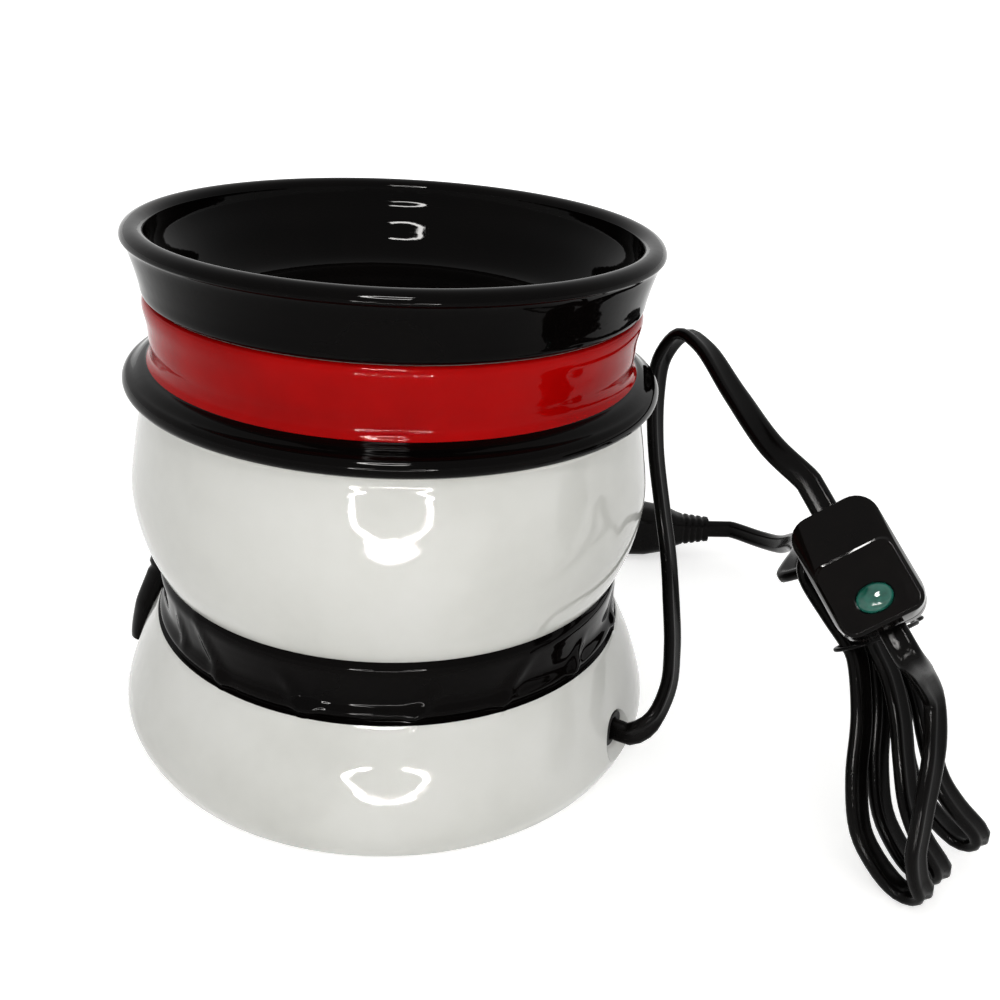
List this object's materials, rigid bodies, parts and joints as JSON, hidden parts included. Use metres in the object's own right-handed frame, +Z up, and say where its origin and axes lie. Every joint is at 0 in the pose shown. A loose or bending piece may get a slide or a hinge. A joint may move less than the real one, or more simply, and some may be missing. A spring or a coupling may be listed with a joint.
{
  "type": "electric wax warmer",
  "caption": "Round glazed ceramic wax warmer with a lift-off dish over a small lamp, a flat cord with an in-line push switch, a tied hank and a plug.",
  "frame": {"origin": "on the table, on the axis that the ceramic body is turned about, under the rubber feet", "axes": "+Z up along the body's axis, +X towards the side where the cord and switch lie, -Y towards the viewer"},
  "size_m": [0.2561, 0.2051, 0.1519],
  "materials": {
    "body_glaze": "gloss glaze, white with black and red bands",
    "dish_glaze": "black gloss glaze",
    "base_steel": "satin black paint",
    "zinc_steel": "zinc plated",
    "foot_rubber": "matt",
    "holder_porcelain": "unglazed white",
    "contact_brass": "plain",
    "cap_insulator": "black glass insulator with a solder tip",
    "lamp_glass": "clear",
    "filament_wire": "bare wire",
    "cord_vinyl": "soft black vinyl with a slight shine",
    "switch_plastic": "black moulding, fine satin",
    "button_green": "translucent green",
    "tie_wire": "black sleeve over wire",
    "lead_black": "insulated core",
    "lead_white": "insulated core",
    "blade_nickel": "nickel plated brass"
  },
  "bodies": {
    "warmer": {"base_plate": "base_steel", "ceramic_body": "body_glaze", "clamp_nut_front": "zinc_steel", "clamp_nut_rear": "zinc_steel", "clamp_screw_front": "zinc_steel", "clamp_screw_rear": "zinc_steel", "cord_grommet": "foot_rubber", "cord_hank": "cord_vinyl", "cord_tie": "tie_wire", "cord_to_plug": "cord_vinyl", "cord_to_switch": "cord_vinyl", "cross_bar": "zinc_steel", "foot_pad_1": "foot_rubber", "foot_pad_2": "foot_rubber", "foot_pad_3": "foot_rubber", "foot_pad_4": "foot_rubber", "holder_contact": "contact_brass", "holder_screw": "zinc_steel", "holder_shell": "contact_brass", "lamp_holder": "holder_porcelain", "lead_live": "lead_black", "lead_neutral": "lead_white", "plug_blade_lower": "blade_nickel", "plug_blade_upper": "blade_nickel", "plug_body": "cord_vinyl", "switch_base": "switch_plastic", "switch_contact_left": "contact_brass", "switch_contact_right": "contact_brass", "switch_cover": "switch_plastic", "switch_screw_low": "zinc_steel", "switch_screw_top": "zinc_steel", "terminal_live": "contact_brass", "terminal_neutral": "contact_brass"},
    "dish": {"wax_dish": "dish_glaze"},
    "lamp": {"bulb_cap": "contact_brass", "bulb_contact": "cap_insulator", "bulb_filament": "filament_wire", "bulb_glass": "lamp_glass", "bulb_stem": "lamp_glass"},
    "button": {"switch_button": "button_green"}
  },
  "joints": [
    {"name": "dish_lift", "type": "slide", "parent": "warmer", "child": "dish", "axis": [0, 0, 1], "range_m": [0, 0.12]},
    {"name": "bulb_unscrew", "type": "hinge", "parent": "warmer", "child": "lamp", "pos_m": [0, 0, 0.0277], "axis": [0, 0, 1], "range_deg": [0, 1080]},
    {"name": "switch_press", "type": "slide", "parent": "warmer", "child": "button", "axis": [0.4045, 0.7069, -0.5802], "range_m": [0, 0.0018], "stiffness_N_per_m": 300}
  ]
}
